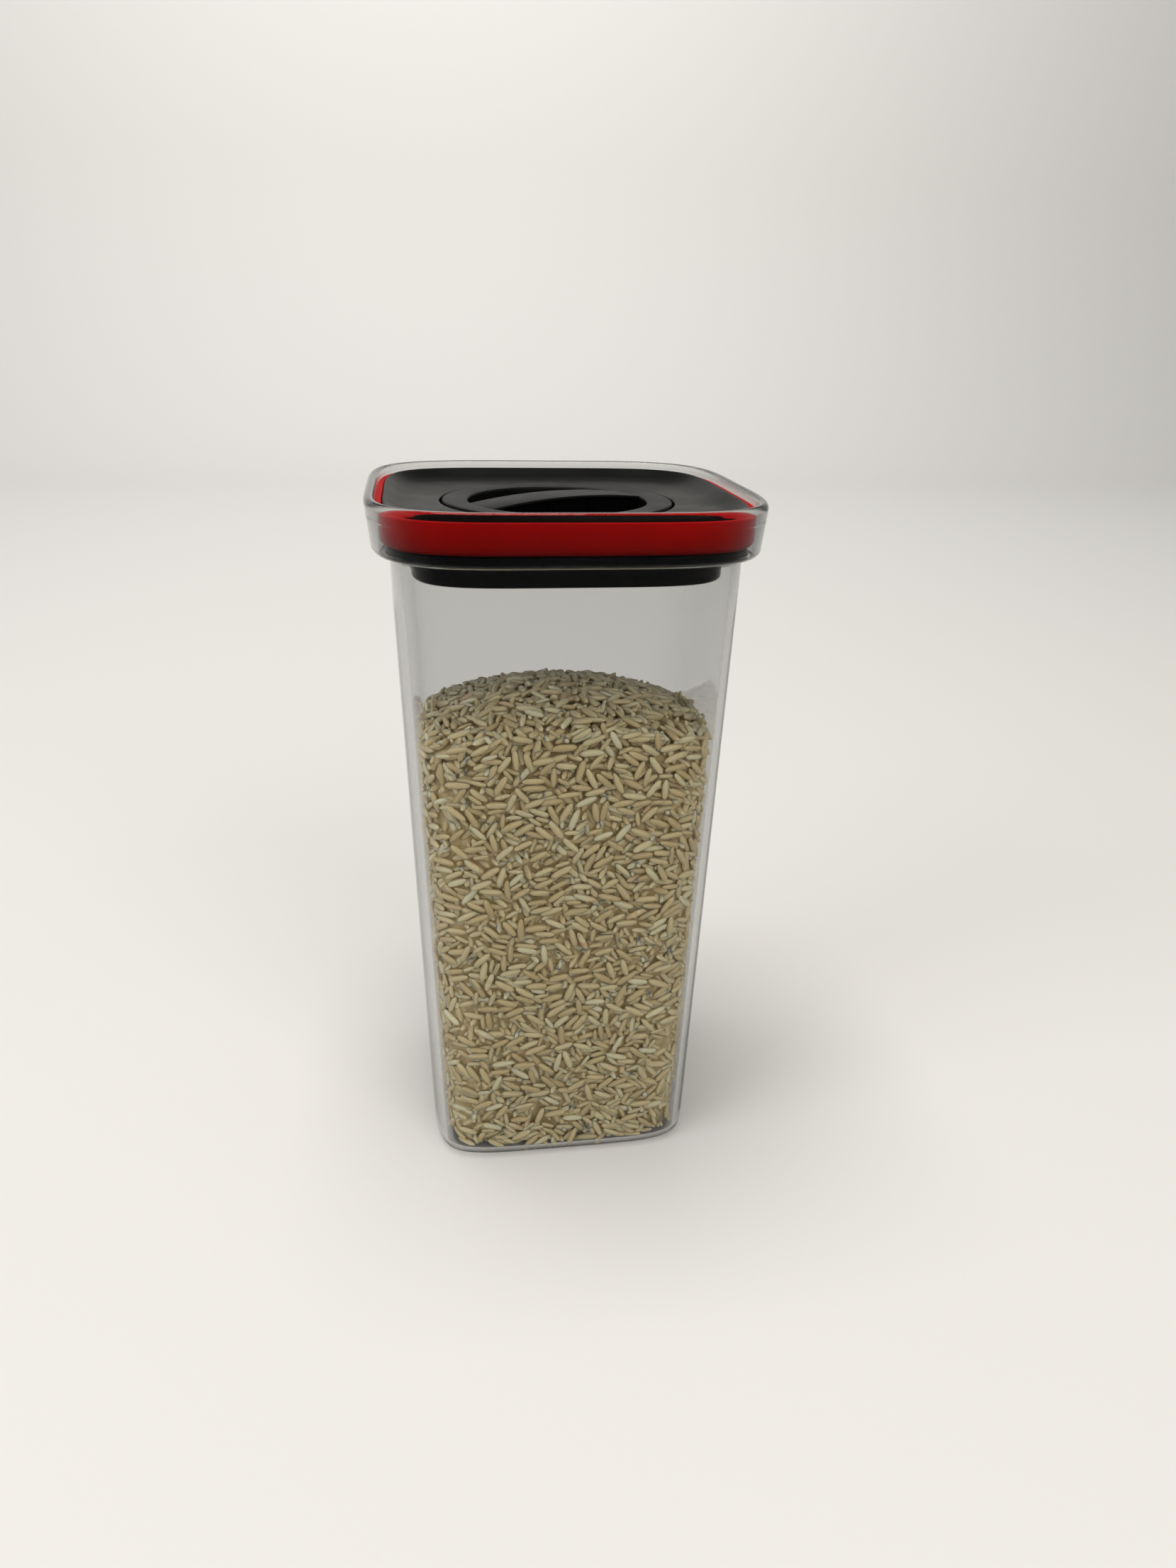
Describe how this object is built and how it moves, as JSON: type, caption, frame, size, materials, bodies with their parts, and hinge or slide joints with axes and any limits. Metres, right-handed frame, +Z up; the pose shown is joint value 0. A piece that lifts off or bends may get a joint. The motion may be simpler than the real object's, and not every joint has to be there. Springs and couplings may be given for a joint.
{
  "type": "food canister",
  "caption": "Clear square tapered food storage jar with a black twist-to-seal lid, a red gasket and a dry filling of rice.",
  "frame": {"origin": "centre of the canister's base, on the surface it stands on", "axes": "+Z up along the canister, front towards -Y"},
  "size_m": [0.1054, 0.1054, 0.2],
  "materials": {
    "clear_plastic": "clear moulded plastic, polished",
    "rice": "loose long-grain rice, matt",
    "plate_plastic": "moulded, smooth",
    "acetal_black": "moulded acetal",
    "steel": "zinc plated",
    "red_silicone": "moulded silicone, satin",
    "cover_plastic": "fine satin texture",
    "acetal_white": "punched sheet",
    "dial_plastic": "fine satin texture",
    "spring_steel": "punched, plain"
  },
  "bodies": {
    "canister": {"canister": "clear_plastic", "rice_fill": "rice"},
    "plate": {"pressure_plate": "plate_plastic", "cam_socket": "acetal_black", "socket_screws": "steel", "gasket": "red_silicone"},
    "cover": {"lid_cover": "cover_plastic", "glide_washer": "acetal_white"},
    "dial": {"dial": "dial_plastic", "cam_pins": "steel", "retaining_ring": "spring_steel"}
  },
  "joints": [
    {"name": "lid_lift", "type": "slide", "parent": "canister", "child": "plate", "axis": [0, 0, 1], "range_m": [0, 0.1]},
    {"name": "cover_rise", "type": "slide", "parent": "plate", "child": "cover", "axis": [0, 0, 1], "range_m": [0, 0.003], "deforming": ["gasket"]},
    {"name": "dial_turn", "type": "hinge", "parent": "cover", "child": "dial", "pos_m": [0, 0, 0.19], "axis": [0, 0, 1], "range_deg": [0, 90]}
  ],
  "couplings": [
    {"joint": "cover_rise", "follows": "dial_turn", "m_per_rad": 0.001909}
  ]
}
